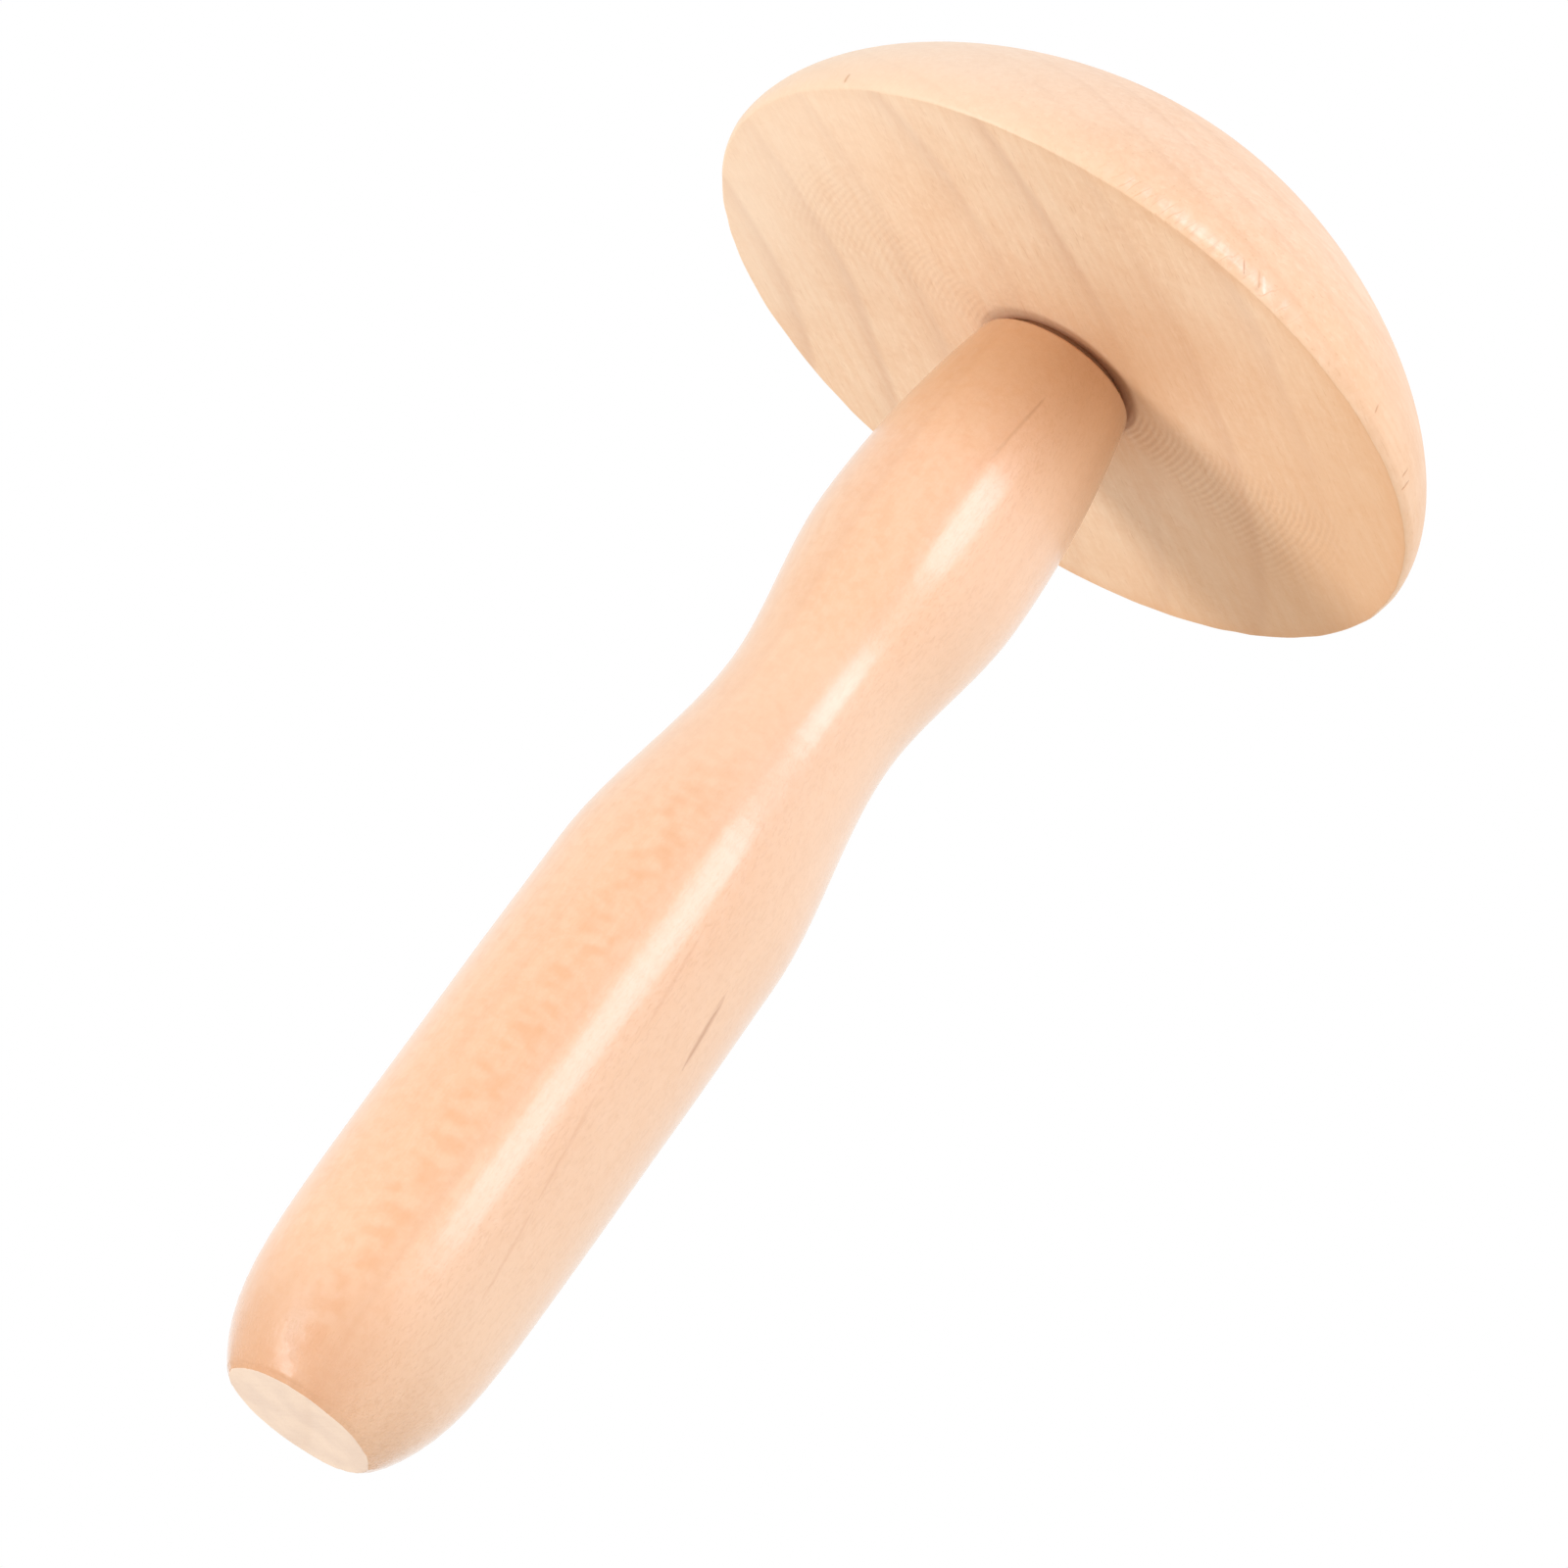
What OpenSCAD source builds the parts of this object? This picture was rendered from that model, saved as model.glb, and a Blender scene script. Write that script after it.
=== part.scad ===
// Darning mushroom turned from two blanks of pale beech.
// The handle stands upright on its sawn foot and the domed cap sits on top.
// The origin is the centre of the foot face, and the turning axis runs up +Z.

/* [Cap] */
// Diameter of the cap at its widest place
cap_d = 70; // [60:0.5:90]
// Height of the cap from its flat underside to the crown
cap_h = 23.6; // [21:0.1:32]
// Height of the rounded lip between the underside and the widest place
lip_h = 0.9; // [0.4:0.1:3]
// Width of the same lip, measured inwards from the widest place
lip_w = 0.6; // [0.3:0.1:3]
// How far the dome climbs upright out of the lip before it leans in
dome_upright = 9; // [4:0.1:14]
// How far the dome runs level out of the crown before it falls away
dome_level = 15.5; // [8:0.1:24]

/* [Handle] */
// Length of the handle from its sawn foot to its shoulder
handle_l = 114.8; // [95:0.1:135]
// Diameter of the flat foot face, with its broken edge
foot_d = 14.6; // [12:0.1:18]
// Width of the broken edge around the foot face
foot_break = 0.35; // [0.2:0.05:1]
// Diameter of the belly, the thickest place
belly_d = 22.2; // [19:0.1:28]
// Height at which the belly is reached, as a share of the handle's length
belly_share = 0.35; // [0.28:0.005:0.42]
// How suddenly the foot swells out into the belly
foot_sweep = 8; // [3:0.1:9]
// Diameter of the hip, where the belly starts to draw in
hip_d = 22; // [18.5:0.1:27]
// Height of the hip, as a share of the handle's length
hip_share = 0.466; // [0.44:0.002:0.54]
// Diameter of the waist, the thinnest place
waist_d = 16.3; // [12.5:0.1:18]
// Height of the waist, as a share of the handle's length
waist_share = 0.662; // [0.6:0.002:0.7]
// Diameter of the swell between the waist and the shoulder
swell_d = 20.2; // [18:0.1:25]
// Height of the swell, as a share of the handle's length
swell_share = 0.811; // [0.76:0.002:0.86]
// Diameter of the shoulder, the handle's top end under the cap
shoulder_d = 15.2; // [14.6:0.1:17.5]
// Radius of the rounded edge around the shoulder
shoulder_round = 0.4; // [0.2:0.05:0.6]

/* [Joint] */
// Diameter of the spigot turned on the top end of the handle
spigot_d = 12; // [9:0.1:12.5]
// Length of the spigot above the shoulder
spigot_l = 15; // [9:0.1:16]
// Chamfer that leads the spigot into the bore
spigot_lead = 1; // [0.5:0.1:1.5]
// Chamfer around the mouth of the bore in the cap
bore_lead = 0.4; // [0.2:0.1:0.5]
// Gap left open between the shoulder and the flat underside
shoulder_gap = 0.7; // [0.3:0.05:1.2]
// Thickness of the glue film around the spigot
glue_t = 0.15; // [0.1:0.05:0.3]
// Depth of the glue left under the end of the spigot
glue_pool = 0.8; // [0.3:0.1:1.5]

/* [Hidden] */
$fn = 96;
cap_wood = [0.93, 0.76, 0.59];
handle_wood = [0.95, 0.78, 0.62];
dried_glue = [0.90, 0.84, 0.66];
dome_steps = 40;
belly_steps = 18;
blend_steps = 12;
round_steps = 6;
// How much closer the steps lie near the foot, where the outline turns fastest
foot_crowding = 1.6;
// Angle at which the shoulder's rounded edge takes over from the handle's side
shoulder_turn = 15;
// How far a cut or a joined solid runs past the face that it starts from
past = 1;
underside_z = handle_l + shoulder_gap;
spigot_top = handle_l + spigot_l;
bore_top = spigot_top + glue_pool;
bore_r = spigot_d / 2 + glue_t;
belly_z = belly_share * handle_l;
hip_z = hip_share * handle_l;
waist_z = waist_share * handle_l;
swell_z = swell_share * handle_l;

// Eases a share t of a stretch, so that the curve is upright at both of its ends
function eased(t) = t * t * (3 - 2 * t);

// A curve from a to d that leaves a towards b and reaches d from c
function swept(a, b, c, d, t) =
    pow(1 - t, 3) * a + 3 * pow(1 - t, 2) * t * b + 3 * (1 - t) * t * t * c + pow(t, 3) * d;

// A quarter of an ellipse with the given half width and half height, from angle a0 to a1
function quarter(centre, half_w, half_h, a0, a1) = [
    for (i = [0:round_steps])
        let (a = a0 + (a1 - a0) * i / round_steps)
            [centre.x + half_w * cos(a), centre.y + half_h * sin(a)]
];

// Points between two places on the handle, from (z0, d0) up to just below (z1, d1)
function blend(z0, d0, z1, d1) = [
    for (i = [0:blend_steps - 1])
        let (t = i / blend_steps)
            [(d0 + (d1 - d0) * eased(t)) / 2, z0 + (z1 - z0) * t]
];

// The foot swells out fast and eases into the belly. Steps are closer near the foot.
function foot_to_belly() = [
    for (i = [0:belly_steps - 1])
        let (t = pow(i / belly_steps, foot_crowding))
            [
                (belly_d - (belly_d - foot_d) * pow(1 - t, foot_sweep)) / 2,
                foot_break + (belly_z - foot_break) * t
            ]
];

// Above the swell the handle rounds over to the shoulder, faster as it climbs
function swell_to_shoulder() = [
    for (i = [0:blend_steps])
        let (t = i / blend_steps)
            [
                (swell_d - (swell_d - shoulder_d) * t * t) / 2,
                swell_z + (handle_l - shoulder_round - swell_z) * t
            ]
];

// Half of the cap's outline: underside, lip, dome, crown
function cap_outline() = concat(
    [[0, underside_z]],
    quarter([cap_d / 2 - lip_w, underside_z + lip_h], lip_w, lip_h, -90, 0),
    [
        for (i = [1:dome_steps])
            swept(
                [cap_d / 2, underside_z + lip_h],
                [cap_d / 2, underside_z + lip_h + dome_upright],
                [dome_level, underside_z + cap_h],
                [0, underside_z + cap_h],
                i / dome_steps
            )
    ]
);

// Half of the handle's outline below the shoulder's face
function handle_outline() = concat(
    [[0, 0], [foot_d / 2 - foot_break, 0]],
    foot_to_belly(),
    blend(belly_z, belly_d, hip_z, hip_d),
    blend(hip_z, hip_d, waist_z, waist_d),
    blend(waist_z, waist_d, swell_z, swell_d),
    swell_to_shoulder(),
    quarter(
        [shoulder_d / 2 - shoulder_round, handle_l - shoulder_round],
        shoulder_round, shoulder_round, shoulder_turn, 90
    ),
    [[0, handle_l]]
);

// The bore that the spigot is glued into, with its chamfered mouth
module bore() {
    mouth_r = bore_r + bore_lead;
    translate([0, 0, underside_z - past])
        cylinder(r = bore_r, h = bore_top - underside_z + past);
    translate([0, 0, underside_z - bore_lead])
        cylinder(r1 = mouth_r + bore_lead, r2 = bore_r, h = 2 * bore_lead);
}

// The spigot with its leading chamfer
module spigot() {
    translate([0, 0, handle_l - past])
        cylinder(d = spigot_d, h = spigot_l - spigot_lead + past);
    translate([0, 0, spigot_top - spigot_lead])
        cylinder(d1 = spigot_d, d2 = spigot_d - 2 * spigot_lead, h = spigot_lead);
}

// The domed cap, solid but for its blind bore
module cap() {
    color(cap_wood)
        difference() {
            rotate_extrude()
                polygon(cap_outline());
            bore();
        }
}

// The turned handle and its spigot, one piece of wood
module handle() {
    color(handle_wood)
        union() {
            rotate_extrude()
                polygon(handle_outline());
            spigot();
        }
}

// The cured glue fills the bore around and above the spigot, up from the chamfered mouth
module glue_film() {
    color(dried_glue)
        difference() {
            translate([0, 0, underside_z + bore_lead])
                cylinder(r = bore_r, h = bore_top - underside_z - bore_lead);
            spigot();
        }
}

cap();
handle();
glue_film();
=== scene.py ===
import math

import bpy
import numpy as np
from mathutils import Matrix, Vector, noise

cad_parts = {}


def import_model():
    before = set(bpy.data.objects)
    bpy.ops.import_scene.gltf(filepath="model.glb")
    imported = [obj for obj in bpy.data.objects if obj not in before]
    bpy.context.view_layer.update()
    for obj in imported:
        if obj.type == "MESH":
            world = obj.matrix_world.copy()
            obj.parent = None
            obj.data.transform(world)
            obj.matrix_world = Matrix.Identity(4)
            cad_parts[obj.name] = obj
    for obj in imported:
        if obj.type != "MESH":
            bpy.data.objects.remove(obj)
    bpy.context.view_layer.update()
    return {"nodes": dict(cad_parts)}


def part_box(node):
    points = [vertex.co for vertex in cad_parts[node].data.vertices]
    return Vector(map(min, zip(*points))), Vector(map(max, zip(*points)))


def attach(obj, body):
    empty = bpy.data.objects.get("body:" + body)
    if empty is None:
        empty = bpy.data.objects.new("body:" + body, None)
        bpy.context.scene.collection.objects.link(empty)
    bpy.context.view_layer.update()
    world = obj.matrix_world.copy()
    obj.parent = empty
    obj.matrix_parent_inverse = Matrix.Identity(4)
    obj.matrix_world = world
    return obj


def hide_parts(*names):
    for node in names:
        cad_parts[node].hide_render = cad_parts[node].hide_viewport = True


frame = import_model()

MM = 0.001

# The view of the photograph: where the camera stands and how it is turned
CAMERA_AT = Vector((0.0, -574.6, -159.7)) * MM
CAMERA_RISE = math.radians(21.74)
CAMERA_HEADING = math.radians(0.167)
CAMERA_ROLL = math.radians(35.79)
CAMERA_LENS = 169.0
SENSOR = 36.0
NEAREST_SEEN = 0.01
FARTHEST_SEEN = 20

# Places that the solids give, in metres, and the underside's height in mm too
CAP_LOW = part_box("cap")[0].z
CAP_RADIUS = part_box("cap")[1].x
BORE_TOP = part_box("glue_film")[1].z
UNDERSIDE = CAP_LOW / MM

# Meshes of the turned pieces: their edges and rings, and how near two heights or radii count as the same
EDGE_SOFTENING = 0.07 * MM
LIP_STEEPENING = 0.5
FINE_STEP = 0.05 * MM
TURN_CROWDING = 7.0 * MM
HANDLE_RINGS = 420
HANDLE_SEGMENTS = 200
CAP_RINGS = 310
CAP_SEGMENTS = 260
SAME_HEIGHT = 0.01 * MM
SAME_RADIUS = 0.001 * MM

# Hand sanding: how deep and how long its waves are, and how near the axis and the lip they calm down
SANDING_WAVE = 0.045 * MM
GRIP_WAVE_SIZE = 13 * MM
DOME_WAVE_SIZE = 16 * MM
CALM_AXIS = 6 * MM
CALM_LIP = 3 * MM

# The sawn end: lobes and chips around its edge, and the unevenness of its face
SAWN_WAVE = 0.28 * MM
SAWN_CHIPS = 0.1 * MM
SAWN_HEIGHT = 1.4 * MM
SAWN_LOBES = 3.2
SAWN_SEED = 1.7
CHIPS_PER_LOBE = 4
FOOT_WAVE = 0.07 * MM
FOOT_WAVE_SIZE = 4 * MM
FOOT_BAND = 0.4 * MM

# The scalloped lower edge of the lip
SCALLOP = 0.22 * MM
SCALLOP_SIZE = 2.6 * MM
LIP_HEIGHT = 0.9 * MM
LIP_SHARE = 0.9

# Which faces are bare wood: how far they reach, and how far up their normal may point
UNDERSIDE_BAND = 0.12 * MM
BORE_REACH = 7 * MM
FOOT_FACE_BAND = 0.15 * MM
UNDERSIDE_FACING = -0.8
BORE_FACING = 0.5
FOOT_FACING = -0.9

# How deep the fine relief of each surface is
DOME_RELIEF = 0.08 * MM
HANDLE_RELIEF = 0.085 * MM
BARE_RELIEF = 0.05 * MM

# Growth rings: the grain's direction, their centre and spacing in mm, and how they waver, darken and fade
CAP_GRAIN = math.radians(50)
ALONG_BOARD = (math.cos(CAP_GRAIN), math.sin(CAP_GRAIN), 0)
ACROSS_BOARD = (-math.sin(CAP_GRAIN), math.cos(CAP_GRAIN), 0)
CAP_RING_CENTRE = (-68.0, 47.0)
CAP_RING_SPACING = 9.6
CAP_RING_DEPTH = 3.4
CAP_RING_DRIFT = 0.8
CAP_RING_START = 0.1
HANDLE_RING_CENTRE = (-70.0, 12.0)
HANDLE_RING_SPACING = 6.6
HANDLE_RING_DRIFT = 0.35
HANDLE_RING_START = -0.3
RING_ONSET = 5.0
RING_END = 0.86
RING_FADING = 0.02
FOOT_FADING = 0.4
FAINTEST_RING = 0.25

# How far apart neighbouring numbers draw their chance values from the noise
CHANCE_STEP = 3.7

# Grain fields: how many features fit in a millimetre along each axis, how detailed, how rough
CAP_DRIFT = ((0.05, 0.05, 0.02), 2, 0.5)
CAP_CLOUD = ((0.06, 0.06, 0.09), 3, 0.55)
CAP_PATCHES = ((0.27, 0.27, 0.27), 3, 0.6)
CAP_FIBRE = ((1.5, 1.5, 0.07), 5, 0.62)
CAP_GRIT = ((1.5, 1.5, 1.5), 3, 0.6)
CAP_FLECKS = ((1.8, 1.8, 0.5), 3, 0.65)
CAP_PORES = ((4.2, 4.2, 0.5), 2, 0.6)
CAP_PEEL = ((0.9, 0.9, 0.9), 2, 0.5)
RIM_UNSTEADY = ((0.5, 1.0, 1.0), 2, 0.6)
RIPPLE_WAVER = ((0.35, 0.35, 0.35), 2, 0.5)
RIPPLE_BREAKS = ((0.8, 0.8, 0.8), 4, 0.7)
HANDLE_DRIFT = ((0.05, 0.05, 0.016), 2, 0.5)
HANDLE_CLOUD = ((0.08, 0.08, 0.035), 3, 0.55)
HANDLE_FIBRE = ((1.5, 1.5, 0.06), 5, 0.62)
HANDLE_GRIT = ((1.2, 1.2, 1.1), 4, 0.65)
HANDLE_PORES = ((4.4, 4.4, 1.2), 2, 0.65)
HANDLE_PEEL = ((0.9, 0.9, 0.7), 2, 0.5)
HANDLE_BLOTS = ((0.8, 0.5, 1.0), 3, 0.55)
LADDER_BARS = ((0.5, 0.1, 0.85), 0, 0.5)
FOOT_CLOUD = ((0.25, 0.25, 0.0), 2, 0.5)
FOOT_PORES = ((4.5, 4.5, 0.0), 3, 0.6)
SAW_MARKS = ((2.6, 0.12, 1.0), 2, 0.5)
GLUE_CLOUD = ((0.6, 0.6, 0.6), 3, 0.6)

# What the tools left: ripples on the underside, facets and ticks along the lip, saw marks, in mm
TOOL_RIPPLE = 0.62
RIPPLE_SWAY = 0.5
AXIS_GUARD = 0.1
FACET_STEP = 1.75
FACET_DRIFT = 0.9
TICK_STEP = 0.8
TICK_DRIFT = 3.0
TICK_SLANT = -0.45
TICK_WIDTH = 0.12
WORN_MIDDLE = -51.5
SAW_SLANT = 0.4

# Single places in mm: the ladder's X, the middle of a patch of painted shadow in front of the joint, the
# heights of the painted shade at the shoulder
LADDER_X = -3.6
SHADE_PATCH_MIDDLE = (5.0, -16.0, 115.5)
SHOULDER_SHADE = (114.4, 114.9)

# Single marks: where each starts and ends on the surface, and its half width, in mm
MINERAL_STREAK = ((7.9, -7.8, 48.6), (8.6, -7.0, 41.0), 0.45)
NECK_LINE = ((0.5, -8.7, 109.5), (-0.3, -9.8, 99.5), 0.3)
GRAIN_LINES = [
    ((2.3, -9.85, 61.9), (3.2, -10.5, 51.0), 0.24),
    ((3.3, -10.5, 50.6), (4.2, -10.3, 40.9), 0.3),
    ((4.0, -10.4, 34.2), (5.2, -9.8, 23.8), 0.32),
    ((5.3, -9.75, 23.0), (6.4, -8.9, 13.1), 0.26),
]
# a painted highlight beside the largest dent
PAINTED_DENT_GLINT = ((9.1, -33.8, 117.4), (10.1, -33.5, 116.0), 0.3)
LIP_DENTS = [
    ((8.4, -34.0, 117.7), (9.6, -33.7, 115.9), 0.2),
    ((6.9, -34.3, 117.4), (7.7, -34.1, 116.2), 0.1),
    ((23.3, -26.0, 118.0), (23.4, -25.9, 116.9), 0.16),
    ((28.7, -19.9, 117.8), (28.6, -20.1, 116.6), 0.16),
    ((29.3, -19.0, 117.2), (29.3, -19.1, 116.0), 0.18),
    ((-28.8, -19.9, 117.0), (-28.7, -20.0, 115.9), 0.24),
]

# Colours of the cap, as the eye reads them, from 0 to 255
DOME_DARK = (243, 203, 167)
DOME_LIGHT = (246, 211, 180)
DOME_LEFT_LIGHT = (251, 228, 204)
DOME_RIGHT_SHADE = (226, 184, 142)
DOME_RING = (214, 163, 124)
UNDER_DARK = (241, 204, 170)
UNDER_LIGHT = (244, 212, 181)
UNDER_LEFT_LIGHT = (253, 232, 210)
UNDER_RIGHT_SHADE = (226, 172, 124)
UNDER_RING = (208, 164, 136)
CAP_PATCH_TAN = (230, 182, 144)
CAP_FIBRE_TAN = (229, 180, 140)
CAP_GRIT_CREAM = (248, 213, 183)
CAP_FLECK_CREAM = (251, 219, 190)
CAP_PORE_BROWN = (206, 154, 114)
LIP_HONEY = (240, 190, 142)
TICK_TAN = (214, 160, 114)
DENT_BROWN = (204, 136, 80)
PAINTED_GLINT_WHITE = (255, 244, 228)
JOINT_SHADE_TAN = (224, 168, 118)
SHADE_PATCH_TAN = (210, 150, 102)
RIPPLE_BROWN = (206, 154, 114)
UNDER_LIP_SHADE_TAN = (226, 170, 124)
# painted shade of the gap under the handle's shoulder
GAP_SHADE_BROWN = (166, 102, 60)

# Colours of the handle
HANDLE_DARK = (238, 190, 151)
HANDLE_LIGHT = (240, 198, 162)
HANDLE_FIBRE_TAN = (230, 178, 138)
HANDLE_GRIT_CREAM = (246, 205, 174)
HANDLE_PORE_TAN = (214, 162, 120)
HANDLE_RING_TAN = (212, 158, 118)
BLOT_ORANGE = (230, 168, 122)
BAR_ORANGE = (228, 162, 112)
LOW_BROWN = (208, 152, 112)
# painted light: the handle's right side made paler
RIGHT_LIGHT_PALE = (249, 219, 190)
WAIST_PALE = (243, 215, 188)
NECK_SHADE_BROWN = (201, 149, 102)
STREAK_BROWN = (166, 108, 72)
NECK_LINE_BROWN = (172, 118, 80)
GRAIN_LINE_BROWN = (204, 146, 106)
# painted shade of the shoulder in the gap under the cap
SHOULDER_SHADE_BROWN = (196, 128, 82)

# Colours of the bare foot and of the glue
FOOT_LIGHT = (246, 222, 202)
FOOT_DARK = (238, 214, 196)
FOOT_PORE_TAN = (222, 184, 156)
FOOT_RING_TAN = (216, 180, 154)
GLUE_LIGHT = (226, 205, 152)
GLUE_DARK = (212, 184, 126)

# The stage: the floor's size, fading and paper, where the lamps aim, and the strength and tints of light
FLOOR_HALF = 3.0
FLOOR_FULL = 0.14
FLOOR_GONE = 0.42
FLOOR_PAPER = (0.93, 0.93, 0.93, 1)
LAMPS_AIM = Vector((0, 0, 75)) * MM
AMBIENT = 0.6
AMBIENT_TINT = (1, 0.99, 0.94, 1)
COOL = (1.0, 0.95, 1.14)


def colour(red, green, blue):
    """A colour given as the eye reads it, from 0 to 255, turned into light."""
    def light(value):
        share = value / 255
        return share / 12.92 if share <= 0.04045 else ((share + 0.055) / 1.055) ** 2.4
    return (light(red), light(green), light(blue), 1.0)


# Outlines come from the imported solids, so that the turned pieces have exactly their shape

def turning_points(node):
    """Every (height, radius) at which the outline of a packed turned solid has a corner."""
    points = np.array([v.co for v in frame["nodes"][node].data.vertices])
    pairs = np.round(np.c_[points[:, 2], np.hypot(points[:, 0], points[:, 1])], 7)
    return np.unique(pairs, axis=0)


def narrowest(pairs, height):
    """The innermost radius that the outline has at a height."""
    return pairs[np.isclose(pairs[:, 0], height, atol=SAME_HEIGHT), 1].min()


def widest(pairs):
    """The outermost radius at each height, as (radius, height) from the bottom up."""
    heights = np.unique(pairs[:, 0])
    return [(pairs[pairs[:, 0] == h, 1].max(), h) for h in heights]


def handle_path():
    """Half outline of the handle: foot face, side, shoulder, spigot, and back to the axis."""
    pairs = turning_points("handle")
    side = widest(pairs)
    shoulder = max(h for r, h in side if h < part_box("cap")[0].z)
    spigot_r = narrowest(pairs, shoulder)
    below = [p for p in side if p[1] <= shoulder]
    above = [p for p in side if p[1] > shoulder]
    return [(0.0, 0.0)] + below + [(spigot_r, shoulder)] + above + [(0.0, above[-1][1])]


def cap_path():
    """Half outline of the cap: bore, flat underside, lip, dome and crown."""
    pairs = turning_points("cap")
    mouth_r = narrowest(pairs, pairs[0, 0])
    in_bore = (pairs[:, 1] <= mouth_r + SAME_RADIUS) & (pairs[:, 0] <= BORE_TOP + SAME_HEIGHT)
    bore = [(r, h) for h, r in pairs[in_bore][::-1]]
    outside = widest(pairs[~in_bore])
    rim_r = max(r for r, h in outside)
    lip_top = min(h for r, h in outside if r == rim_r)
    outside = [(rim_r - (rim_r - r) * LIP_STEEPENING if h < lip_top else r, h) for r, h in outside]
    return [(0.0, bore[0][1])] + bore + outside


def softened(points, step):
    """An outline of evenly spaced points with its edges rounded over."""
    reach = int(4 * EDGE_SOFTENING / step)
    kernel = np.exp(-0.5 * (np.arange(-reach, reach + 1) * step / EDGE_SOFTENING) ** 2)
    kernel /= kernel.sum()
    before = 2 * points[0] - points[reach:0:-1]
    after = 2 * points[-1] - points[-2:-reach - 2:-1]
    padded = np.r_[before, points, after]
    return np.c_[np.convolve(padded[:, 0], kernel, "valid"), np.convolve(padded[:, 1], kernel, "valid")]


def evened(path, rings):
    """The outline with softened edges, cut into rings that lie closer where it turns."""
    path = np.array(path)
    along = np.r_[0, np.cumsum(np.hypot(*np.diff(path, axis=0).T))]
    count = int(along[-1] / FINE_STEP)
    s = np.linspace(0, along[-1], count)
    step = s[1]
    fine = np.c_[np.interp(s, along, path[:, 0]), np.interp(s, along, path[:, 1])]
    soft = softened(fine, step)
    heading = np.unwrap(np.arctan2(np.gradient(soft[:, 1]), np.gradient(soft[:, 0])))
    worth = 1 + TURN_CROWDING * np.abs(np.gradient(heading)) / step
    total = np.r_[0, np.cumsum((worth[1:] + worth[:-1]) / 2)]
    pick = np.interp(np.linspace(0, total[-1], rings), total, np.arange(count))
    radius = np.interp(pick, np.arange(count), soft[:, 0])
    height = np.interp(pick, np.arange(count), soft[:, 1])
    radius[0] = radius[-1] = 0
    return radius, height


def turned_points(radius, height, segments, shift):
    """The points of a solid of revolution, ring by ring, between its two poles."""
    angles = np.linspace(0, 2 * math.pi, segments, endpoint=False)
    points = [(0.0, 0.0, height[0])]
    for r, h in zip(radius[1:-1], height[1:-1]):
        for a in angles:
            inwards, upwards = shift(r, h, a)
            points.append(((r - inwards) * math.cos(a), (r - inwards) * math.sin(a), h + upwards))
    points.append((0.0, 0.0, height[-1]))
    return points


def turned_faces(rings, segments):
    """The faces between the rings, and the fans that close both poles."""
    last = 1 + (rings - 2) * segments
    top = 1 + (rings - 3) * segments
    faces = []
    for i in range(rings - 3):
        for k in range(segments):
            near, far = 1 + i * segments, 1 + (i + 1) * segments
            nxt = (k + 1) % segments
            faces.append((near + k, near + nxt, far + nxt, far + k))
    for k in range(segments):
        nxt = (k + 1) % segments
        faces.append((0, 1 + nxt, 1 + k))
        faces.append((last, top + k, top + nxt))
    return faces


def turned(name, path, rings, segments, shift):
    """A solid of revolution. shift gives each point's small move inwards and upwards."""
    radius, height = evened(path, rings)
    mesh = bpy.data.meshes.new(name)
    mesh.from_pydata(turned_points(radius, height, segments, shift), [], turned_faces(rings, segments))
    mesh.validate()
    mesh.polygons.foreach_set("use_smooth", [True] * len(mesh.polygons))
    mesh.update()
    piece = bpy.data.objects.new(name, mesh)
    bpy.context.scene.collection.objects.link(piece)
    return piece


def waviness(r, h, a, scale):
    """Smooth noise from 0 to 1 over the surface, with features about scale metres long."""
    place = Vector((r * math.cos(a), r * math.sin(a), h)) / scale
    return 0.5 + 0.5 * noise.noise(place)


def handle_shift(r, h, a):
    """Hand sanding leaves the grip faintly uneven, and the saw leaves its end ragged."""
    sanded = SANDING_WAVE * waviness(r, h, a, GRIP_WAVE_SIZE)
    low = max(0.0, 1 - h / SAWN_HEIGHT) ** 2
    edge = Vector((SAWN_LOBES * math.cos(a), SAWN_LOBES * math.sin(a), SAWN_SEED))
    lobes = SAWN_WAVE * low * (0.5 + 0.5 * noise.noise(edge))
    chips = SAWN_CHIPS * low * noise.noise(edge * CHIPS_PER_LOBE)
    lifted = FOOT_WAVE * waviness(r, 0, a, FOOT_WAVE_SIZE) if h < FOOT_BAND else 0.0
    return (sanded + max(0.0, lobes + chips)) * min(1, r / CALM_AXIS), lifted


def cap_shift(r, h, a):
    """The dome is faintly uneven from sanding. The underside stays flat off the tool."""
    on_dome = min(1.0, max(0.0, (h - CAP_LOW) / CALM_LIP))
    sanded = SANDING_WAVE * on_dome * waviness(r, h, a, DOME_WAVE_SIZE) * min(1, r / CALM_AXIS)
    at_lip = max(0.0, 1 - (h - CAP_LOW) / LIP_HEIGHT) if r > LIP_SHARE * CAP_RADIUS else 0.0
    return sanded + SCALLOP * at_lip * waviness(r, 0, a, SCALLOP_SIZE), 0.0


handle = turned("turned_handle", handle_path(), HANDLE_RINGS, HANDLE_SEGMENTS, handle_shift)
cap = turned("turned_cap", cap_path(), CAP_RINGS, CAP_SEGMENTS, cap_shift)


# Materials, with their places in mm

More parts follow.
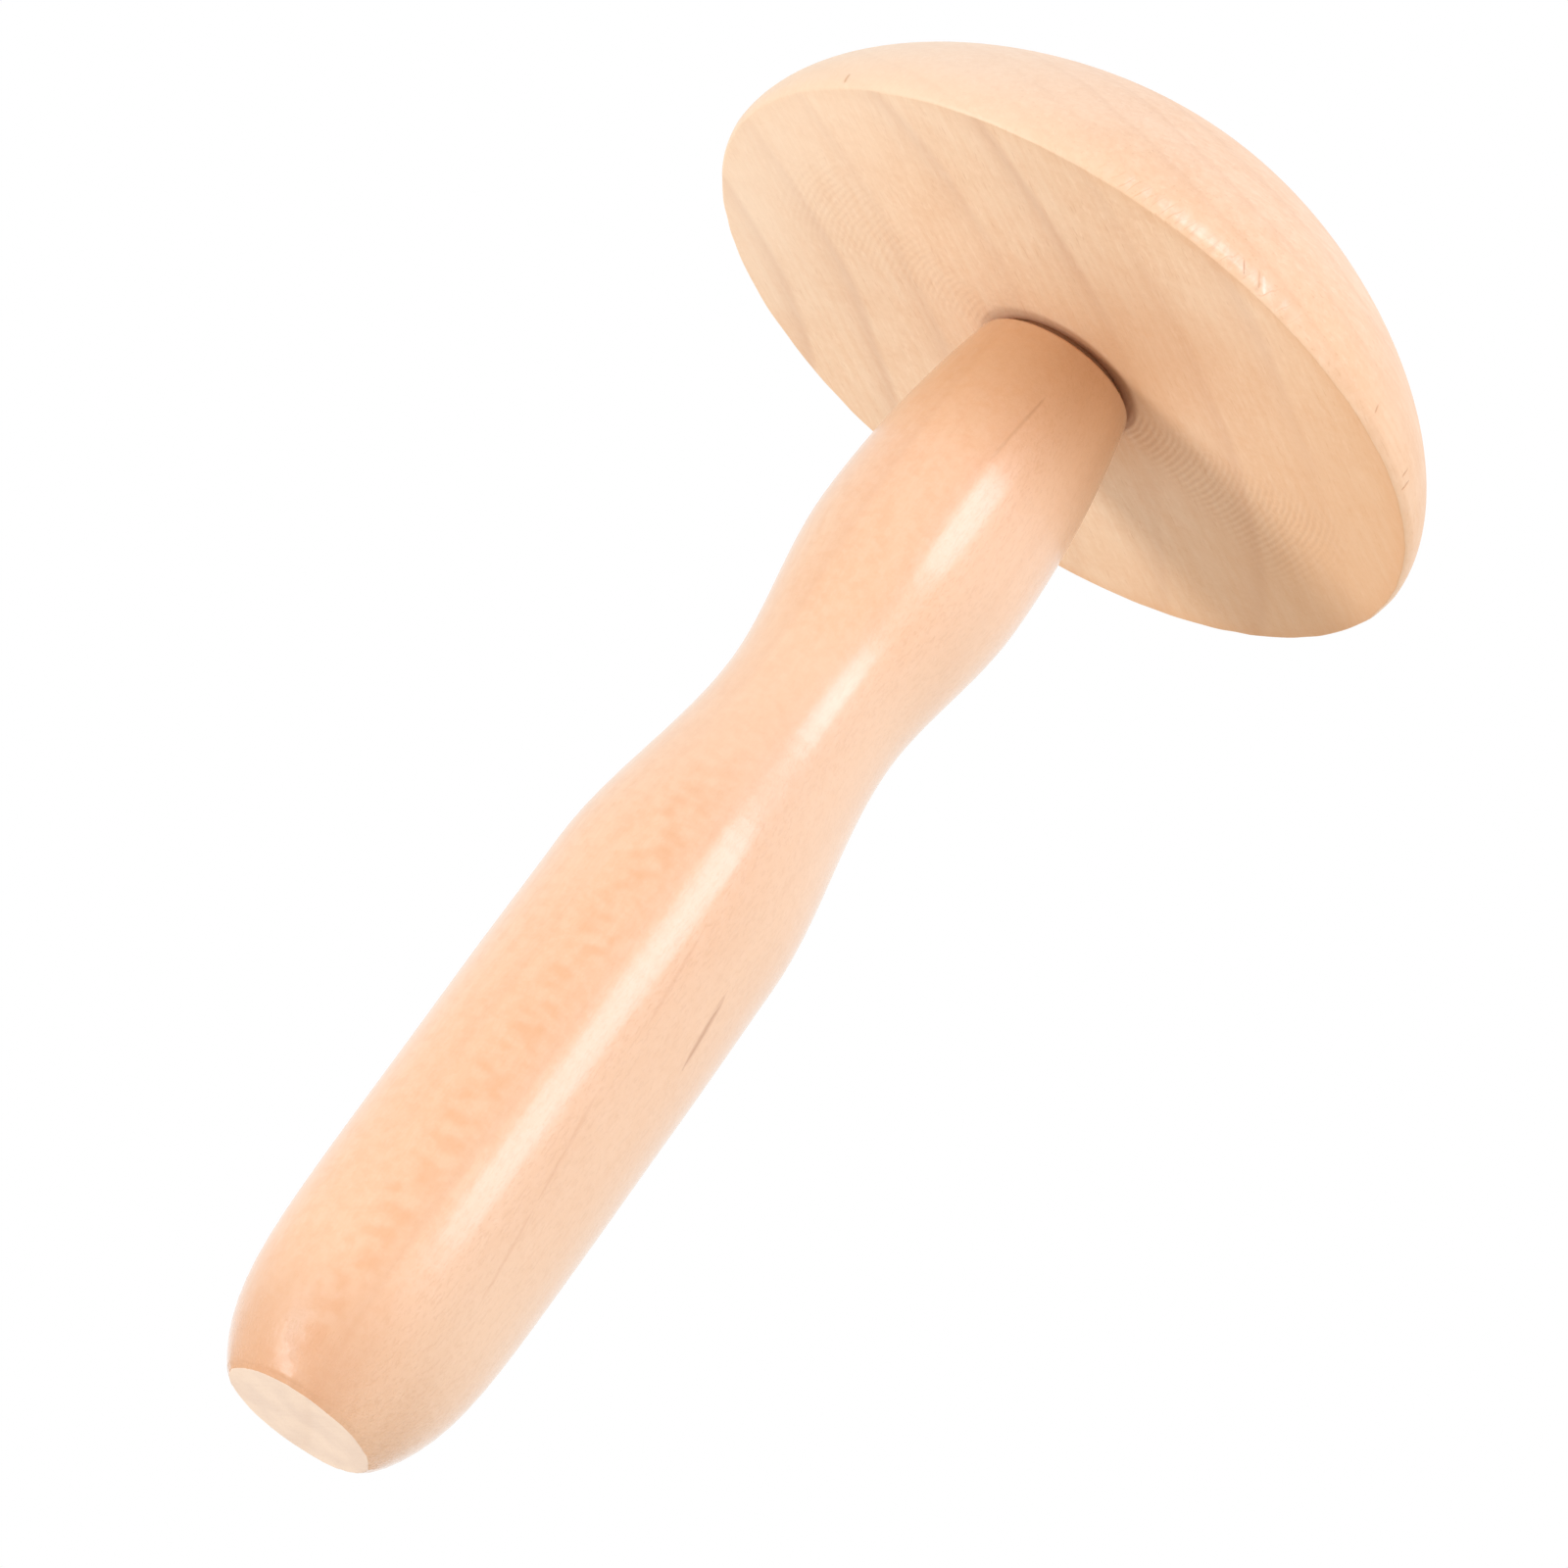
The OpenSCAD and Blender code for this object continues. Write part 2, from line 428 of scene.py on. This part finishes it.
class Nodes:
    """A material under construction. Its methods add nodes and return their outputs."""

    def __init__(self, name):
        self.material = bpy.data.materials.new(name)
        self.material.use_nodes = True
        self.tree = self.material.node_tree
        self.tree.nodes.clear()
        self.out = self.tree.nodes.new("ShaderNodeOutputMaterial")
        coords = self.tree.nodes.new("ShaderNodeTexCoord")
        self.place = self.vector("SCALE", coords.outputs["Object"], scale=1 / MM)
        self.x, self.y, self.z = self.parts(self.place)

    def feed(self, socket, value):
        if isinstance(value, bpy.types.NodeSocket):
            self.tree.links.new(value, socket)
        else:
            socket.default_value = value

    def math(self, operation, a, b=0.0, clamp=False):
        node = self.tree.nodes.new("ShaderNodeMath")
        node.operation = operation
        node.use_clamp = clamp
        for socket, value in zip(node.inputs, (a, b)):
            self.feed(socket, value)
        return node.outputs[0]

    def vector(self, operation, a, b=(0, 0, 0), scale=1.0):
        node = self.tree.nodes.new("ShaderNodeVectorMath")
        node.operation = operation
        self.feed(node.inputs[0], a)
        if operation == "SCALE":
            self.feed(node.inputs["Scale"], scale)
        elif operation != "LENGTH":
            self.feed(node.inputs[1], b)
        return node.outputs["Value" if operation in ("DOT_PRODUCT", "LENGTH") else "Vector"]

    def parts(self, vector):
        node = self.tree.nodes.new("ShaderNodeSeparateXYZ")
        self.feed(node.inputs[0], vector)
        return node.outputs[0], node.outputs[1], node.outputs[2]

    def joined(self, x, y, z):
        node = self.tree.nodes.new("ShaderNodeCombineXYZ")
        for socket, value in zip(node.inputs, (x, y, z)):
            self.feed(socket, value)
        return node.outputs[0]

    def noise(self, place, scales, detail, rough):
        """Noise from 0 to 1. scales says how many features fit in a millimetre along each axis."""
        node = self.tree.nodes.new("ShaderNodeTexNoise")
        self.feed(node.inputs["Vector"], self.vector("MULTIPLY", place, scales))
        node.inputs["Scale"].default_value = 1.0
        node.inputs["Detail"].default_value = detail
        node.inputs["Roughness"].default_value = rough
        return node.outputs["Fac"]

    def chance(self, number, fading=0.0):
        """A value from 0 to 1 for each whole number, as by chance. It drifts slowly with fading."""
        seed = self.times(number, CHANCE_STEP)
        return self.noise(self.joined(seed, 0.0, fading), (1, 1, 1), 0.0, 0.5)

    def span(self, value, low, high, to_low=0.0, to_high=1.0):
        """Eases value from to_low at low to to_high at high."""
        node = self.tree.nodes.new("ShaderNodeMapRange")
        node.interpolation_type = "SMOOTHSTEP"
        for socket, v in zip(node.inputs, (value, low, high, to_low, to_high)):
            self.feed(socket, v)
        return node.outputs[0]

    def mix(self, share, a, b):
        node = self.tree.nodes.new("ShaderNodeMix")
        node.data_type = "RGBA"
        self.feed(node.inputs["Factor"], share)
        self.feed(node.inputs["A"], a)
        self.feed(node.inputs["B"], b)
        return node.outputs["Result"]

    def tint(self, base, tone, share, where, between=None):
        """Lays tone over base, by the given share where the field named where is 1.

        With between, the share comes in as that field runs from the first of two values to the second.
        """
        if between is None:
            amount = self.math("MULTIPLY", where, share)
        else:
            amount = self.span(where, *between, 0.0, share)
        return self.mix(amount, base, colour(*tone))

    def bump(self, height, distance, strength):
        node = self.tree.nodes.new("ShaderNodeBump")
        self.feed(node.inputs["Height"], height)
        node.inputs["Distance"].default_value = distance
        node.inputs["Strength"].default_value = strength
        return node.outputs[0]

    def times(self, value, factor):
        return self.math("MULTIPLY", value, factor)

    def all_of(self, *values):
        """The product of several shares."""
        result = values[0]
        for value in values[1:]:
            result = self.math("MULTIPLY", result, value)
        return result

    def plus(self, *values):
        result = values[0]
        for value in values[1:]:
            result = self.math("ADD", result, value)
        return result

    def apart(self, a, b):
        """How far two numbers are apart."""
        return self.math("ABSOLUTE", self.math("SUBTRACT", a, b))

    def from_point(self, point):
        """The distance from a point."""
        return self.vector("LENGTH", self.vector("SUBTRACT", self.place, point))

    def from_upright(self, centre):
        """The distance from an upright line through centre."""
        flat = self.joined(self.x, self.y, 0.0)
        return self.vector("LENGTH", self.vector("SUBTRACT", flat, (*centre, 0.0)))

    def mark(self, start, end, half_width):
        """A share that is 1 on the line from start to end and fades to 0 at half_width."""
        start, end = Vector(start), Vector(end)
        run = end - start
        offset = self.vector("SUBTRACT", self.place, start)
        along = self.math("DIVIDE", self.vector("DOT_PRODUCT", offset, run), run.length_squared, clamp=True)
        nearest = self.vector("SCALE", tuple(run), scale=along)
        distance = self.vector("LENGTH", self.vector("SUBTRACT", offset, nearest))
        to_end = self.math("MULTIPLY", along, self.math("SUBTRACT", 1.0, along))
        taper = self.span(to_end, 0.0, 0.2, 0.3, 1.0)
        return self.span(self.math("DIVIDE", distance, taper), half_width, 0.0)

    def marks(self, lines):
        """The strongest of several marks."""
        shares = [self.mark(*line) for line in lines]
        result = shares[0]
        for share in shares[1:]:
            result = self.math("MAXIMUM", result, share)
        return result

    def shader(self, base, roughness, normal, **settings):
        node = self.tree.nodes.new("ShaderNodeBsdfPrincipled")
        self.feed(node.inputs["Base Color"], base)
        self.feed(node.inputs["Roughness"], roughness)
        self.feed(node.inputs["Normal"], normal)
        for name, value in settings.items():
            self.feed(node.inputs[name.replace("_", " ")], value)
        self.tree.links.new(node.outputs[0], self.out.inputs["Surface"])
        return self.material


def growth_rings(g, phase, fading):
    """Dark latewood lines: each ring darkens slowly and ends sharply. Some rings are fainter."""
    share = g.math("FRACT", phase)
    line = g.all_of(g.math("POWER", share, RING_ONSET), g.span(share, 1.0, RING_END))
    strength = g.chance(g.math("FLOOR", phase), fading)
    return g.all_of(line, g.span(strength, 0.3, 0.65, FAINTEST_RING, 1.0))


def cap_rings(g, board, along):
    """The rings lie at a low angle to the underside: they cross it as arcs and arch over the dome."""
    away = g.math("DIVIDE", g.from_upright(CAP_RING_CENTRE), CAP_RING_SPACING)
    depth = g.math("DIVIDE", g.math("SUBTRACT", g.z, UNDERSIDE), CAP_RING_DEPTH)
    drift = g.times(g.noise(board, *CAP_DRIFT), CAP_RING_DRIFT)
    return growth_rings(g, g.plus(away, depth, drift, CAP_RING_START), g.times(along, RING_FADING))


def cap_wood(g, dark, light):
    """What both faces of the cap share, as it is cut from one board: base colour, rings, fibre, grit."""
    across = g.vector("DOT_PRODUCT", g.place, ACROSS_BOARD)
    along = g.vector("DOT_PRODUCT", g.place, ALONG_BOARD)
    board = g.joined(across, g.z, along)
    rings = cap_rings(g, board, along)
    fibre = g.noise(board, *CAP_FIBRE)
    grit = g.noise(g.place, *CAP_GRIT)
    cloud = g.noise(g.place, *CAP_CLOUD)
    base = g.mix(g.span(cloud, 0.3, 0.7), colour(*dark), colour(*light))
    base = g.tint(base, CAP_PATCH_TAN, 0.22, g.noise(g.place, *CAP_PATCHES), (0.4, 0.65))
    base = g.tint(base, CAP_FIBRE_TAN, 0.24, fibre, (0.36, 0.64))
    base = g.tint(base, CAP_GRIT_CREAM, 0.3, grit, (0.4, 0.65))
    base = g.tint(base, CAP_FLECK_CREAM, 0.4, g.noise(board, *CAP_FLECKS), (0.54, 0.68))
    base = g.tint(base, CAP_PORE_BROWN, 0.26, g.noise(board, *CAP_PORES), (0.6, 0.72))
    return base, rings, fibre, grit


def worn_rim(g, above_lip):
    """Three fields of the lip: the waves of its flat facets, its fine ticks, and where it is worn."""
    around = g.times(g.math("ARCTAN2", g.y, g.x), CAP_RADIUS / MM)
    unsteady = g.noise(g.joined(around, 0.0, 0.0), *RIM_UNSTEADY)
    facets = g.plus(g.math("DIVIDE", around, FACET_STEP), g.times(unsteady, FACET_DRIFT))
    wave = g.math("SINE", g.times(facets, 2 * math.pi))
    slanted = g.plus(around, g.times(above_lip, TICK_SLANT))
    ticks = g.plus(g.math("DIVIDE", slanted, TICK_STEP), g.times(unsteady, TICK_DRIFT))
    line = g.span(g.apart(g.math("FRACT", ticks), 0.5), TICK_WIDTH, 0.0)
    kept = g.span(g.chance(g.math("FLOOR", ticks)), 0.4, 0.6)
    stretch = g.span(g.apart(around, WORN_MIDDLE), 12.0, 8.0, 0.12, 1.0)
    worn = g.all_of(g.span(above_lip, 2.2, 1.2), g.span(above_lip, 0.0, 0.5), stretch)
    return wave, g.all_of(line, kept), worn


def dome_material(name):
    """The lacquered dome and lip."""
    g = Nodes(name)
    base, rings, fibre, _ = cap_wood(g, DOME_DARK, DOME_LIGHT)
    above_lip = g.math("SUBTRACT", g.z, UNDERSIDE)
    wave, ticks, worn = worn_rim(g, above_lip)
    dents = g.marks(LIP_DENTS)
    base = g.tint(base, DOME_RING, 0.4, rings)
    # painted light: the dome's left side made paler
    base = g.tint(base, DOME_LEFT_LIGHT, 0.6, g.x, (2.0, -34.0))
    # painted shade: the dome's right side made darker and warmer
    base = g.tint(base, DOME_RIGHT_SHADE, 0.3, g.x, (12.0, 34.0))
    base = g.tint(base, LIP_HONEY, 0.2, above_lip, (6.0, 0.5))
    base = g.tint(base, DENT_BROWN, 0.5, dents)
    # painted highlight: a pale glint beside the largest dent
    base = g.tint(base, PAINTED_GLINT_WHITE, 0.5, g.mark(*PAINTED_DENT_GLINT))
    base = g.tint(base, TICK_TAN, 0.42, g.all_of(ticks, worn))
    peel = g.all_of(g.noise(g.place, *CAP_PEEL), g.span(worn, 0.0, 0.6, 0.8, 0.3))
    height = g.math("SUBTRACT", g.plus(peel, g.all_of(wave, worn, 1.1)), dents)
    rough = g.plus(g.span(fibre, 0.3, 0.7, 0.46, 0.56), g.times(worn, -0.16))
    coat = g.span(worn, 0.0, 0.6, 0.16, 0.68)
    normal = g.bump(height, DOME_RELIEF, 0.9)
    return g.shader(base, rough, normal, IOR=1.45, Coat_Weight=coat, Coat_Roughness=0.24)


def tool_ripples(g, radius):
    """The lathe tool's fine rings, and where they show: in two wedges along X, in broken patches."""
    wavering = g.plus(radius, g.times(g.noise(g.place, *RIPPLE_WAVER), RIPPLE_SWAY))
    groove = g.math("SINE", g.times(wavering, 2 * math.pi / TOOL_RIPPLE))
    off_axis = g.math("ABSOLUTE", g.math("DIVIDE", g.y, g.plus(radius, AXIS_GUARD)))
    wedge = g.all_of(g.span(off_axis, 0.4, 0.12), g.span(radius, 31.0, 25.0))
    patches = g.span(g.noise(g.place, *RIPPLE_BREAKS), 0.3, 0.5)
    return groove, g.all_of(wedge, patches, g.span(g.x, -10.0, 10.0, 0.42, 1.0))


def underside_material(name):
    """The flat underside, left matt, with the ripples that the lathe tool leaves across the grain."""
    g = Nodes(name)
    base, rings, fibre, grit = cap_wood(g, UNDER_DARK, UNDER_LIGHT)
    radius = g.from_upright((0.0, 0.0))
    groove, rippled = tool_ripples(g, radius)
    # painted shade: the underside darkened around the joint, where the handle shades it
    joint_shade = g.all_of(g.span(radius, 17.0, 8.0), g.span(g.x, -5.0, 6.0, 0.3, 1.0))
    # painted shade: a darker band in the crease along the lip
    lip = g.all_of(g.span(radius, 32.6, 34.6), g.span(g.x, -20.0, 5.0, 0.05, 0.3))
    # painted shade: the narrow gap under the handle's shoulder is darkened in the colour
    gap_shade = g.all_of(g.span(radius, 8.3, 7.5), g.span(g.x, -7.0, 1.0, 0.35, 1.0))
    base = g.tint(base, UNDER_RING, 0.75, rings)
    # painted shade: the underside's right side made darker and warmer
    base = g.tint(base, UNDER_RIGHT_SHADE, 0.55, g.x, (4.0, 30.0))
    # painted light: the underside's left side made paler
    base = g.tint(base, UNDER_LEFT_LIGHT, 0.4, g.x, (-14.0, -34.0))
    base = g.tint(base, JOINT_SHADE_TAN, 0.5, joint_shade)
    # painted shadow: a soft darker patch where the handle's shadow falls in front of the joint
    base = g.tint(base, SHADE_PATCH_TAN, 0.4, g.from_point(SHADE_PATCH_MIDDLE), (15.0, 1.0))
    base = g.tint(base, RIPPLE_BROWN, 0.24, g.all_of(rippled, g.span(groove, -1.0, 1.0)))
    base = g.mix(lip, base, colour(*UNDER_LIP_SHADE_TAN))
    base = g.tint(base, GAP_SHADE_BROWN, 0.65, gap_shade)
    height = g.plus(g.times(fibre, 0.4), g.times(grit, 1.6), g.all_of(rippled, groove, 0.6))
    normal = g.bump(height, BARE_RELIEF, 0.6)
    rough = g.span(fibre, 0.3, 0.7, 0.55, 0.68)
    return g.shader(base, rough, normal, IOR=1.45, Specular_IOR_Level=0.25)


def handle_rings(g):
    """The rings lie across X, so the front shows their face and the sides show their edge."""
    away = g.math("DIVIDE", g.from_upright(HANDLE_RING_CENTRE), HANDLE_RING_SPACING)
    drift = g.times(g.noise(g.place, *HANDLE_DRIFT), HANDLE_RING_DRIFT)
    return growth_rings(g, g.plus(away, drift, HANDLE_RING_START), g.times(g.z, RING_FADING))


def ray_flecks(g, base):
    """The front of the handle is mottled, with a ladder of short orange bars."""
    front = g.span(g.y, -1.0, -5.0)
    blots = g.all_of(front, g.span(g.x, 2.5, -1.0), g.span(g.noise(g.place, *HANDLE_BLOTS), 0.4, 0.68))
    strip = g.all_of(front, g.span(g.apart(g.x, LADDER_X), 2.4, 0.9), g.span(g.z, 72.0, 56.0))
    ladder = g.all_of(strip, g.span(g.noise(g.place, *LADDER_BARS), 0.36, 0.72))
    base = g.tint(base, BLOT_ORANGE, 0.24, blots)
    return g.tint(base, BAR_ORANGE, 0.38, ladder)


def handle_shades(g, base):
    """Slow changes of tone: darker at the low end, painted light on the right side, paler at the waist, and
    painted shade from the cap at the neck.
    """
    low = g.all_of(g.span(g.z, 14.0, 0.5), g.span(g.x, 6.0, 0.0))
    painted_right_light = g.all_of(g.span(g.x, 1.5, 7.5), g.span(g.z, 1.0, 14.0))
    waist = g.all_of(g.span(g.z, 56.0, 68.0), g.span(g.z, 84.0, 76.0))
    base = g.tint(base, LOW_BROWN, 0.6, low)
    # painted light: the right side is made paler, as if more light fell there
    base = g.tint(base, RIGHT_LIGHT_PALE, 0.35, painted_right_light)
    base = g.tint(base, WAIST_PALE, 0.22, waist)
    # painted shade: the neck is darkened where the cap shades it
    return g.tint(base, NECK_SHADE_BROWN, 0.6, g.z, (98.0, 112.0))


def handle_marks(g, base, fibre):
    """The handle's single dark marks, broken up by the fibre, and painted shade at its shoulder, in the gap
    under the cap.
    """
    broken = g.span(fibre, 0.36, 0.52, 0.35, 1.0)
    base = g.tint(base, STREAK_BROWN, 0.5, g.all_of(g.mark(*MINERAL_STREAK), broken))
    base = g.tint(base, NECK_LINE_BROWN, 0.38, g.all_of(g.mark(*NECK_LINE), broken))
    base = g.tint(base, GRAIN_LINE_BROWN, 0.22, g.all_of(g.marks(GRAIN_LINES), broken))
    # painted shade: the shoulder is darkened where the gap under the cap shades it
    return g.tint(base, SHOULDER_SHADE_BROWN, 0.4, g.z, SHOULDER_SHADE)


def handle_material(name):
    """The lacquered stick, with fine dark pores on its right side and more lacquer at its low end."""
    g = Nodes(name)
    fibre = g.noise(g.place, *HANDLE_FIBRE)
    grit = g.noise(g.place, *HANDLE_GRIT)
    cloud = g.noise(g.place, *HANDLE_CLOUD)
    side = g.span(g.x, -2.0, 4.0, 0.25, 1.0)
    pores = g.all_of(g.span(g.noise(g.place, *HANDLE_PORES), 0.5, 0.64), side)
    base = g.mix(g.span(cloud, 0.3, 0.7), colour(*HANDLE_DARK), colour(*HANDLE_LIGHT))
    base = g.tint(base, HANDLE_FIBRE_TAN, 0.2, fibre, (0.36, 0.64))
    base = g.tint(base, HANDLE_GRIT_CREAM, 0.24, grit, (0.4, 0.62))
    base = ray_flecks(g, base)
    base = g.tint(base, HANDLE_PORE_TAN, 0.26, pores)
    base = g.tint(base, HANDLE_RING_TAN, 0.4, handle_rings(g))
    base = handle_shades(g, base)
    base = handle_marks(g, base, fibre)
    peel = g.noise(g.place, *HANDLE_PEEL)
    height = g.plus(g.times(peel, 0.8), g.times(grit, 0.6), g.times(pores, -0.14))
    normal = g.bump(height, HANDLE_RELIEF, 0.8)
    pooled = g.span(g.z, 10.0, 1.0)
    rough = g.plus(g.span(fibre, 0.3, 0.7, 0.34, 0.44), g.times(pooled, -0.14))
    coat = g.plus(0.85, g.times(pooled, 0.15))
    return g.shader(base, rough, normal, IOR=1.5, Coat_Weight=coat, Coat_Roughness=0.19, Coat_IOR=1.53)


def foot_material(name):
    """Bare sawn end grain: pale, matt, dotted with pores and crossed by faint saw marks."""
    g = Nodes(name)
    pores = g.noise(g.place, *FOOT_PORES)
    cloud = g.noise(g.place, *FOOT_CLOUD)
    away = g.math("DIVIDE", g.from_upright(HANDLE_RING_CENTRE), HANDLE_RING_SPACING)
    saw = g.noise(g.joined(g.plus(g.x, g.times(g.y, SAW_SLANT)), g.y, 0.0), *SAW_MARKS)
    base = g.mix(g.span(cloud, 0.35, 0.65), colour(*FOOT_LIGHT), colour(*FOOT_DARK))
    base = g.tint(base, FOOT_PORE_TAN, 0.3, pores, (0.55, 0.72))
    base = g.tint(base, FOOT_RING_TAN, 0.25, growth_rings(g, away, FOOT_FADING))
    normal = g.bump(g.plus(g.times(pores, -0.7), saw), BARE_RELIEF, 0.6)
    rough = g.span(pores, 0.3, 0.7, 0.75, 0.9)
    return g.shader(base, rough, normal, IOR=1.4, Specular_IOR_Level=0.3)


def glue_material(name):
    """Cured wood glue, amber and cloudy."""
    g = Nodes(name)
    cloud = g.noise(g.place, *GLUE_CLOUD)
    base = g.mix(g.span(cloud, 0.3, 0.7), colour(*GLUE_LIGHT), colour(*GLUE_DARK))
    rough = g.span(cloud, 0.3, 0.7, 0.25, 0.45)
    return g.shader(base, rough, g.bump(cloud, BARE_RELIEF, 0.4), IOR=1.47)


dome_wood = dome_material("lacquered_cap_wood")
underside_wood = underside_material("plain_cap_wood")
handle_wood = handle_material("lacquered_handle_wood")
foot_wood = foot_material("sawn_foot_wood")
glue = glue_material("cured_glue")


def paint(piece, materials, which):
    """Gives each face the material that which picks from its middle, by number."""
    for material in materials:
        piece.data.materials.append(material)
    for face in piece.data.polygons:
        face.material_index = which(face.center, face.normal)


def cap_face(middle, normal):
    """The flat underside and the bore are bare, the rest is lacquered."""
    on_underside = middle.z < CAP_LOW + UNDERSIDE_BAND and normal.z < UNDERSIDE_FACING
    in_bore = middle.xy.length < BORE_REACH and normal.z < BORE_FACING
    return 1 if on_underside or in_bore else 0


def handle_face(middle, normal):
    """The sawn foot is bare, the rest is lacquered."""
    return 1 if middle.z < FOOT_FACE_BAND and normal.z < FOOT_FACING else 0


paint(cap, [dome_wood, underside_wood], cap_face)
paint(handle, [handle_wood, foot_wood], handle_face)
film = frame["nodes"]["glue_film"]
film.data.materials.clear()
film.data.materials.append(glue)

for piece, node, slot in ((cap, "cap", "cap_wood"), (handle, "handle", "handle_wood")):
    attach(piece, "root")
    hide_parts(node)


# Stage

def floor_material():
    """Pale paper on the upper side, clear from below, and fading out with distance."""
    material = bpy.data.materials.new("floor_paper")
    material.use_nodes = True
    tree = material.node_tree
    tree.nodes.clear()
    out = tree.nodes.new("ShaderNodeOutputMaterial")
    paper = tree.nodes.new("ShaderNodeBsdfDiffuse")
    paper.inputs["Color"].default_value = FLOOR_PAPER
    clear = tree.nodes.new("ShaderNodeBsdfTransparent")
    choice = tree.nodes.new("ShaderNodeMixShader")
    side = tree.nodes.new("ShaderNodeNewGeometry")
    place = tree.nodes.new("ShaderNodeTexCoord")
    away = tree.nodes.new("ShaderNodeVectorMath")
    away.operation = "LENGTH"
    fade = tree.nodes.new("ShaderNodeMapRange")
    fade.interpolation_type = "SMOOTHSTEP"
    fade.inputs["From Min"].default_value = FLOOR_FULL
    fade.inputs["From Max"].default_value = FLOOR_GONE
    unseen = tree.nodes.new("ShaderNodeMath")
    unseen.operation = "MAXIMUM"
    tree.links.new(place.outputs["Object"], away.inputs[0])
    tree.links.new(away.outputs["Value"], fade.inputs["Value"])
    tree.links.new(side.outputs["Backfacing"], unseen.inputs[0])
    tree.links.new(fade.outputs[0], unseen.inputs[1])
    tree.links.new(unseen.outputs[0], choice.inputs[0])
    tree.links.new(paper.outputs[0], choice.inputs[1])
    tree.links.new(clear.outputs[0], choice.inputs[2])
    tree.links.new(choice.outputs[0], out.inputs["Surface"])
    return material


def floor():
    """A pale floor that shows only from above, as the photograph looks up past its level."""
    mesh = bpy.data.meshes.new("floor")
    signs = ((-1, -1), (1, -1), (1, 1), (-1, 1))
    corners = [(x * FLOOR_HALF, y * FLOOR_HALF, 0) for x, y in signs]
    mesh.from_pydata(corners, [], [(0, 1, 2, 3)])
    mesh.materials.append(floor_material())
    obj = bpy.data.objects.new("floor", mesh)
    bpy.context.scene.collection.objects.link(obj)
    obj.visible_shadow = False
    obj.visible_diffuse = False


def lamp(name, towards, size, radiance, distance=1.0, mirrored=False, tint=(1, 1, 1)):
    """A soft lamp of size (width, height) in the direction towards. mirrored lamps show in the lacquer."""
    direction = Vector(towards).normalized()
    data = bpy.data.lights.new(name, "AREA")
    data.shape = "RECTANGLE"
    data.size, data.size_y = size
    data.energy = radiance * math.pi * size[0] * size[1]
    data.color = tint
    obj = bpy.data.objects.new(name, data)
    obj.location = LAMPS_AIM + direction * distance
    obj.visible_glossy = mirrored
    obj.rotation_euler = direction.to_track_quat("Z", "Y").to_euler()
    bpy.context.scene.collection.objects.link(obj)


def world():
    """White to the camera, in reflections and through clear material, and softer on the surfaces."""
    w = bpy.data.worlds.new("studio")
    bpy.context.scene.world = w
    w.use_nodes = True
    tree = w.node_tree
    tree.nodes.clear()
    out = tree.nodes.new("ShaderNodeOutputWorld")
    path = tree.nodes.new("ShaderNodeLightPath")
    seen = tree.nodes.new("ShaderNodeMath")
    seen.operation = "MAXIMUM"
    both = tree.nodes.new("ShaderNodeMath")
    both.operation = "MAXIMUM"
    shown = tree.nodes.new("ShaderNodeBackground")
    shown.inputs["Strength"].default_value = 1.0
    shown.inputs["Color"].default_value = (1, 1, 1, 1)
    lit = tree.nodes.new("ShaderNodeBackground")
    lit.inputs["Strength"].default_value = AMBIENT
    lit.inputs["Color"].default_value = AMBIENT_TINT
    choice = tree.nodes.new("ShaderNodeMixShader")
    tree.links.new(path.outputs["Is Camera Ray"], seen.inputs[0])
    tree.links.new(path.outputs["Is Glossy Ray"], seen.inputs[1])
    tree.links.new(seen.outputs[0], both.inputs[0])
    tree.links.new(path.outputs["Is Transmission Ray"], both.inputs[1])
    tree.links.new(both.outputs[0], choice.inputs[0])
    tree.links.new(lit.outputs[0], choice.inputs[1])
    tree.links.new(shown.outputs[0], choice.inputs[2])
    tree.links.new(choice.outputs[0], out.inputs["Surface"])


def camera():
    """The camera of the photograph, turned by its heading, its rise and its roll."""
    forward = Vector((
        math.sin(CAMERA_HEADING) * math.cos(CAMERA_RISE),
        math.cos(CAMERA_HEADING) * math.cos(CAMERA_RISE),
        math.sin(CAMERA_RISE),
    ))
    level = forward.cross(Vector((0, 0, 1))).normalized()
    upright = level.cross(forward)
    right = level * math.cos(CAMERA_ROLL) + upright * math.sin(CAMERA_ROLL)
    up = right.cross(forward)
    data = bpy.data.cameras.new("camera")
    data.sensor_width = SENSOR
    data.lens = CAMERA_LENS
    data.clip_start = NEAREST_SEEN
    data.clip_end = FARTHEST_SEEN
    obj = bpy.data.objects.new("camera", data)
    turn = Matrix((right, up, -forward)).transposed().to_4x4()
    obj.matrix_world = Matrix.Translation(CAMERA_AT) @ turn
    bpy.context.scene.collection.objects.link(obj)
    bpy.context.scene.camera = obj


floor()
lamp("key", (0.22, -0.89, 0.40), (0.2, 0.26), 4.8, distance=0.5, mirrored=True, tint=COOL)
lamp("low_left", (-0.683, -0.348, -0.643), (0.1, 0.42), 10.2, distance=0.5, mirrored=True)
lamp("left", (-0.85, -0.35, -0.2), (0.8, 0.8), 0.35)
lamp("right", (0.8, -0.5, 0.42), (0.8, 0.7), 1.45)
lamp("low_right", (0.75, -0.35, -0.55), (0.8, 0.8), 0.45)
lamp("low_back", (0.26, 0.94, -0.35), (0.8, 0.8), 1.3)
lamp("top", (-0.4, 0.3, 0.87), (1.0, 1.0), 0.7)
world()
camera()
bpy.context.scene.view_settings.view_transform = "Standard"
